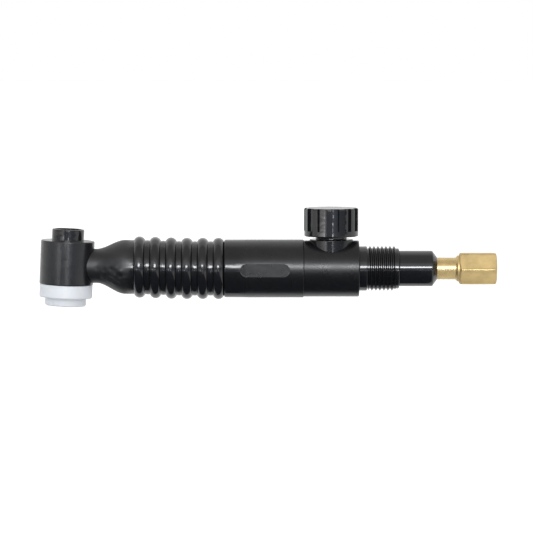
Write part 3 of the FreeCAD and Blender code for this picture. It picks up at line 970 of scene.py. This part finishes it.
class TORCH_OT_insulator(bpy.types.Operator):
    """Models the polished black sleeve behind the thread"""
    bl_idname = "torch.insulator"
    bl_label = "Rear insulator"

    def execute(self, context):
        sizes = context.scene.torch_rear
        start = 140.55 * MM
        shoulder = 150.6 * MM
        end = 167.75 * MM
        wall = 6.45 * MM
        insulator = turned("rear_insulator_sleeve", rounded([
            (start, TUBE_WAY, 0), (start, wall, 0), (shoulder, wall, 0),
            (shoulder, sizes.insulator_radius, 0.3 * MM),
            (end - 2.1 * MM, sizes.insulator_radius, 0.9 * MM), (end, 5.2 * MM, 0.15 * MM),
            (end, 5.05 * MM, 0), (CONNECTOR_START, 5.05 * MM, 0), (CONNECTOR_START, TUBE_WAY, 0),
        ], 5))
        finish_piece(
            insulator, black_moulding("insulator_plastic", 0.04, 0.00002, 0.005),
            "insulator_plastic", "torch_body", "rear_insulator")
        return {"FINISHED"}


class TORCH_OT_connector(bpy.types.Operator):
    """Models the brass cable connector with its hexagon and inside thread"""
    bl_idname = "torch.connector"
    bl_label = "Cable connector"

    def execute(self, context):
        sizes = context.scene.torch_rear
        start = CONNECTOR_START
        collar = 176.25 * MM
        hex_start = 177.85 * MM
        hex_end = 194.75 * MM
        corner = sizes.hex_flats / math.sqrt(3)
        nut = primitive(
            bpy.ops.mesh.primitive_cylinder_add, "brass_connector", vertices=6, radius=corner,
            depth=hex_end - hex_start, location=ALONG * (hex_start + hex_end) / 2,
            rotation=(0, math.pi / 2, 0))
        chamfer = sizes.hex_flats / 2 - 0.45 * MM
        rounding = turned("nut_rounding", [
            (hex_start, 0), (hex_start, chamfer), (hex_start + 0.9 * MM, corner),
            (hex_end - 0.9 * MM, corner), (hex_end, chamfer), (hex_end, 0)], closed=False)
        combine(nut, rounding, "INTERSECT")
        soften(nut, 0.22 * MM, 25)
        neck = turned("connector_neck", rounded([
            (start, 0, 0), (start, 5.0 * MM, 0), (collar, 5.0 * MM, 0.4 * MM),
            (collar + 0.8 * MM, 5.9 * MM, 0.3 * MM), (hex_start + 0.5 * MM, 5.9 * MM, 0),
            (hex_start + 0.5 * MM, 0, 0)]), closed=False)
        combine(nut, neck, "UNION")
        combine(nut, rod("tube_bore", ALONG * (start - MM), ALONG * (start + 12 * MM), TUBE_WAY))
        combine(nut, rod("gas_way", ALONG * start, ALONG * 200 * MM, 2.0 * MM))
        combine(nut, self.socket(hex_end))
        finish = machined_metal(
            "connector_brass", shade("brass"), shade("brass", 0.74), 0.20, (0.12, 1, 1), 1500.0)
        roughen(finish, "X", 176 * MM, 178 * MM, 0.28)
        tree = finish.node_tree
        from_axis = across(tree, ORIGIN, (0, 1, 1))
        duller(finish, ranged(tree, from_axis, corner - 0.45 * MM, corner - 0.2 * MM, 0.0, -0.26))
        shader_of(finish).inputs["Metallic"].default_value = 0.75
        finish_piece(nut, finish, "connector_brass", "torch_body", "cable_connector", angle=25)
        return {"FINISHED"}

    def socket(self, hex_end):
        """The space of the threaded cable socket, as a solid to cut with."""
        root = 4.75 * MM
        relief = root + 0.05 * MM
        mouth = relief + 0.5 * MM
        deep = hex_end - 11 * MM
        return threaded_space(
            "cable_socket",
            [(deep, 0), (deep, relief), (deep + 0.6 * MM, relief)],
            [(hex_end - 0.55 * MM, relief), (hex_end + 0.02 * MM, mouth), (hex_end + MM, mouth),
             (hex_end + MM, 0)],
            4.2 * MM, root, 1.058 * MM, 0.14 * MM, ORIGIN, ALONG, UP)


class TORCH_OT_inner_parts(bpy.types.Operator):
    """Gives the parts inside the torch, which keep their CAD shapes, their finishes"""
    bl_idname = "torch.inner_parts"
    bl_label = "Inner parts"

    def execute(self, context):
        copper = machined_metal(
            "copper", shade("copper"), shade("copper", 0.6), 0.24, (0.1, 1, 1), 900.0)
        brass = machined_metal(
            "valve_brass", shade("brass"), shade("brass", 0.8), 0.20, (1, 1, 6), 1200.0)
        finishes = {
            "neck_tube": copper,
            "power_tube": copper,
            "valve_seat": plain_material(
                "seat_plastic", Vector((0.80, 0.80, 0.74)), Vector((0.72, 0.72, 0.66)), 0.4, 0.00001),
            "bonnet_gasket": plain_material(
                "gasket_fibre", Vector((0.45, 0.10, 0.06)), Vector((0.30, 0.07, 0.05)), 0.8, 0.00004),
            "stem_o_ring": plain_material(
                "ring_rubber", Vector((0.02, 0.02, 0.02)), Vector((0.035, 0.035, 0.035)), 0.5,
                0.00001),
            "knob_screw": machined_metal(
                "screw_steel", Vector((0.55, 0.55, 0.56)), Vector((0.42, 0.42, 0.44)), 0.28,
                (1, 1, 6), 1200.0),
            "valve_block": brass,
            "bonnet_nut": brass,
            "valve_stem": brass,
            "knob_insert": brass,
        }
        for name, material in finishes.items():
            coat(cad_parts[name], material)
        return {"FINISHED"}


# the studio

class TORCH_OT_stage(bpy.types.Operator):
    """Sets up the floor, the lamps, the background and the camera"""
    bl_idname = "torch.stage"
    bl_label = "Studio"

    def execute(self, context):
        self.floor()
        self.dark_reflection_card()
        self.strip_lamp()
        self.sky_lamp()
        self.surroundings(context.scene)
        self.camera(context.scene)
        context.scene.view_settings.view_transform = "Standard"
        return {"FINISHED"}

    def floor(self):
        """A pale floor that ends in front of the torch."""
        floor = primitive(
            bpy.ops.mesh.primitive_plane_add, "studio_floor", size=12.0,
            location=(0.09, 5.55, FLOOR_HEIGHT))
        material = new_material("pale_floor")
        tree = material.node_tree
        tree.nodes.clear()
        matt = add_node(tree, "ShaderNodeBsdfDiffuse", {"Color": (0.65, 0.65, 0.65, 1)})
        glow = add_node(tree, "ShaderNodeEmission", {"Strength": 0.65})
        seen_glow = add_node(
            tree, "ShaderNodeMixShader", {0: self.seen_directly(tree), 2: glow.outputs[0]})
        both = add_node(
            tree, "ShaderNodeAddShader", {0: seen_glow.outputs[0], 1: matt.outputs[0]})
        add_node(tree, "ShaderNodeOutputMaterial", {"Surface": both.outputs[0]})
        coat(floor, material)

    def seen_directly(self, tree):
        """1 for camera, mirror and see-through rays, and 0 for the rays that light things."""
        path = add_node(tree, "ShaderNodeLightPath").outputs
        seen = maths(tree, "MAXIMUM", path["Is Camera Ray"], path["Is Glossy Ray"])
        return maths(tree, "MAXIMUM", seen, path["Is Transmission Ray"])

    def dark_reflection_card(self):
        """A dark sheet on the floor in front of the torch, which shows only in reflections: it paints a
        dark reflection into the lower halves of the glossy parts.
        """
        middle = Vector((-0.1665, -0.2235, FLOOR_HEIGHT + 0.0005))
        corner_shift = 0.030
        card = primitive(bpy.ops.mesh.primitive_plane_add, "dark_reflection_card", size=1.0)
        card.scale = (0.667, 0.473, 1.0)
        card.location = middle
        bpy.ops.object.transform_apply(location=True, rotation=True, scale=True)
        # The painted dark reflection stops short of the brass near the torch; the far front corner of
        # the sheet is pulled further along the handle.
        start_editing(card)
        select_where(card, lambda point: point.x > middle.x and point.y < middle.y)
        bpy.ops.transform.translate(value=(corner_shift, 0, 0))
        stop_editing()
        material = new_material("painted_dark_reflection")
        shader = shader_of(material)
        # Dark bluish grey: the colour of the painted dark reflection that the lower halves of the
        # glossy parts show.
        shader.inputs["Base Color"].default_value = (0.045, 0.055, 0.08, 1)
        shader.inputs["Roughness"].default_value = 0.9
        coat(card, material)
        card.visible_camera = False
        card.visible_diffuse = False
        card.visible_shadow = False
        card.visible_transmission = False

    def facing(self, target, distance, height):
        """Place and turn of what faces a target from the front, a height in degrees above it."""
        angle = math.radians(height)
        place = target + Vector((0, -math.cos(angle), math.sin(angle))) * distance
        turn = (target - place).to_track_quat("-Z", "Y").to_euler()
        return {"location": place, "rotation": turn}

    def strip_lamp(self):
        """A long flat lamp in front of the torch, which gives glossy highlights only."""
        bpy.ops.object.light_add(type="AREA", **self.facing(Vector((0.09, 0, 0)), 1.35, 12.0))
        lamp = bpy.context.object
        lamp.name = "strip_lamp"
        lamp.data.shape = "RECTANGLE"
        lamp.data.size = 0.8
        lamp.data.size_y = 0.20
        lamp.data.energy = 12.0
        lamp.visible_camera = False
        lamp.visible_diffuse = False

    def sky_lamp(self):
        """A soft lamp from the front, a little above, which has no mirror image."""
        bpy.ops.object.light_add(
            type="SUN", location=(0.09, -0.5, 1.5), rotation=(math.radians(66), 0, 0))
        lamp = bpy.context.object
        lamp.name = "sky_lamp"
        lamp.data.energy = 2.4
        lamp.data.angle = math.radians(120)
        lamp.visible_camera = False
        lamp.visible_glossy = False

    def surroundings(self, scene):
        """White to the camera, an even pale light on things, and a graded studio in mirrors."""
        world = bpy.data.worlds.new("studio")
        scene.world = world
        world.use_nodes = True
        tree = world.node_tree
        tree.nodes.clear()
        place = add_node(tree, "ShaderNodeTexCoord").outputs["Generated"]
        parts = add_node(tree, "ShaderNodeSeparateXYZ", {0: place}).outputs
        studio = self.studio(tree, parts["X"], parts["Y"], parts["Z"])
        reflected = add_node(tree, "ShaderNodeBackground", {"Color": studio})
        lighting = add_node(
            tree, "ShaderNodeBackground", {"Color": (0.95, 0.97, 1.0, 1), "Strength": 0.45})
        white = add_node(tree, "ShaderNodeBackground", {"Color": (1, 1, 1, 1)})
        path = add_node(tree, "ShaderNodeLightPath").outputs
        seen = maths(tree, "MAXIMUM", path["Is Camera Ray"], path["Is Transmission Ray"])
        inner = add_node(tree, "ShaderNodeMixShader", {
            0: path["Is Glossy Ray"], 1: lighting.outputs[0], 2: reflected.outputs[0]})
        outer = add_node(
            tree, "ShaderNodeMixShader", {0: seen, 1: inner.outputs[0], 2: white.outputs[0]})
        add_node(tree, "ShaderNodeOutputWorld", {"Surface": outer.outputs[0]})

    def studio(self, tree, right, back, up):
        """What mirror rays see: by height above the horizon, and by side at and below it."""
        forward = maths(tree, "MULTIPLY", back, -1.0)
        height = self.degrees(tree, up, forward)
        side = self.degrees(tree, right, forward)
        upper = self.ramp(tree, height, [
            (-180, 1.0), (-90, 0.9), (-20, 0.06, 0.065, 0.08), (-6, 0.30, 0.33, 0.40),
            (4, 0.55, 0.62, 0.72), (19, 1.9, 2.0, 2.15), (36, 1.2), (42, 0.78, 0.74, 0.70),
            (60, 0.64, 0.62, 0.60), (90, 0.64, 0.62, 0.60), (100, 0.75, 0.72, 0.68), (108, 1.1),
            (168, 1.1), (173, 0.8), (180, 0.8)])
        level = self.ramp(tree, side, [
            (-180, 0.85), (-100, 1.2), (-83, 1.45, 1.4, 1.35), (-60, 1.4, 1.36, 1.32),
            (-45, 1.9, 1.85, 1.85), (-30, 3.0, 2.95, 2.95), (-24, 2.3, 2.25, 2.2),
            (-20, 0.55, 0.60, 0.70), (3, 0.75, 0.80, 0.95), (12, 0.95, 1.05, 1.25),
            (30, 0.5, 0.56, 0.66), (60, 0.35, 0.38, 0.44), (70, 0.12, 0.12, 0.14), (100, 0.3),
            (140, 1.1), (180, 0.85)])
        low_lights = self.ramp(tree, side, [
            (-180, 0), (-110, 0), (-95, 0.8), (-60, 0.8), (-47, 2.0, 2.05, 2.2),
            (-31.5, 2.6, 2.65, 2.8), (-31, 8), (-29.5, 8), (-29, 0), (5.0, 0), (5.6, 16), (7.4, 16),
            (8.0, 0), (180, 0)])
        below = ranged(tree, up, -0.062, -0.070, 0.0, 1.0)
        low = add_node(
            tree, "ShaderNodeVectorMath", {0: low_lights, "Scale": below}, operation="SCALE")
        horizon = add_node(
            tree, "ShaderNodeVectorMath", {0: level, 1: low.outputs[0]}, operation="ADD")
        blend = add_node(
            tree, "ShaderNodeMapRange", {"Value": up, "From Min": -0.04, "From Max": 0.0},
            interpolation_type="SMOOTHSTEP")
        return add_node(tree, "ShaderNodeMix", {
            0: blend.outputs[0], 6: horizon.outputs[0], 7: upper}, data_type="RGBA").outputs[2]

    def degrees(self, tree, side, forward):
        """The angle from straight forward, in degrees."""
        return maths(tree, "MULTIPLY", maths(tree, "ARCTAN2", side, forward), 180 / math.pi)

    def ramp(self, tree, angle, stops):
        """Brightness by an angle in degrees; stops are (angle, grey) or (angle, red, green, blue).

        The first stop is at low and the last at high, which are the two that a new ramp has.
        """
        low, high, brightest = -180.0, 180.0, 16.0
        share = ranged(tree, angle, low, high, 0.0, 1.0)
        node = add_node(tree, "ShaderNodeValToRGB", {0: share})
        elements = node.color_ramp.elements
        for place, *light in stops:
            if place in (low, high):
                element = elements[0 if place == low else -1]
            else:
                element = elements.new((place - low) / (high - low))
            red, green, blue = light if len(light) == 3 else light * 3
            element.color = (red / brightest, green / brightest, blue / brightest, 1)
        colour = node.outputs["Color"]
        return add_node(
            tree, "ShaderNodeVectorMath", {0: colour, "Scale": brightest}, operation="SCALE").outputs[0]

    def camera(self, scene):
        """A long lens, a little above the handle."""
        distance = 1.3
        sensor = 36.0
        view_width = 0.24172
        bpy.ops.object.camera_add(**self.facing(Vector((0.09056, 0, 0.0009)), distance, 4.4))
        camera = bpy.context.object
        camera.name = "studio_camera"
        camera.data.sensor_width = sensor
        camera.data.lens = sensor * distance / view_width
        camera.data.clip_start = 0.01
        scene.camera = camera


PIECE_OPERATORS = (
    TORCH_OT_head, TORCH_OT_head_core, TORCH_OT_gasket, TORCH_OT_grip, TORCH_OT_sleeve,
    TORCH_OT_housing, TORCH_OT_knob, TORCH_OT_adapter, TORCH_OT_insulator, TORCH_OT_connector,
    TORCH_OT_inner_parts, TORCH_OT_stage,
)
SIZE_GROUPS = {
    "torch_head": HeadSizes,
    "torch_gasket": GasketSizes,
    "torch_grip": GripSizes,
    "torch_sleeve": SleeveSizes,
    "torch_housing": HousingSizes,
    "torch_knob": KnobSizes,
    "torch_rear": RearSizes,
    "torch_colours": FinishColours,
}


class TORCH_PT_pieces(bpy.types.Panel):
    """Lists the sizes, colours and pieces of the torch"""
    bl_idname = "TORCH_PT_pieces"
    bl_label = "Welding torch"
    bl_space_type = "VIEW_3D"
    bl_region_type = "UI"
    bl_category = "Torch"

    def draw(self, context):
        for name, group in SIZE_GROUPS.items():
            box = self.layout.box()
            box.label(text=name.replace("torch_", "").capitalize())
            for prop in group.__annotations__:
                box.prop(getattr(context.scene, name), prop)
        for operator in PIECE_OPERATORS:
            self.layout.operator(operator.bl_idname)


def register():
    for group in SIZE_GROUPS.values():
        bpy.utils.register_class(group)
    for name, group in SIZE_GROUPS.items():
        setattr(bpy.types.Scene, name, bpy.props.PointerProperty(type=group))
    for operator in PIECE_OPERATORS:
        bpy.utils.register_class(operator)
    bpy.utils.register_class(TORCH_PT_pieces)


def unregister():
    bpy.utils.unregister_class(TORCH_PT_pieces)
    for operator in reversed(PIECE_OPERATORS):
        bpy.utils.unregister_class(operator)
    for name, group in SIZE_GROUPS.items():
        delattr(bpy.types.Scene, name)
        bpy.utils.unregister_class(group)


def main():
    register()
    bpy.ops.torch.stage()
    bpy.ops.torch.head()
    bpy.ops.torch.head_core()
    bpy.ops.torch.gasket()
    bpy.ops.torch.grip()
    bpy.ops.torch.sleeve()
    bpy.ops.torch.housing()
    bpy.ops.torch.knob()
    bpy.ops.torch.adapter()
    bpy.ops.torch.insulator()
    bpy.ops.torch.connector()
    bpy.ops.torch.inner_parts()


if __name__ == "__main__":
    main()
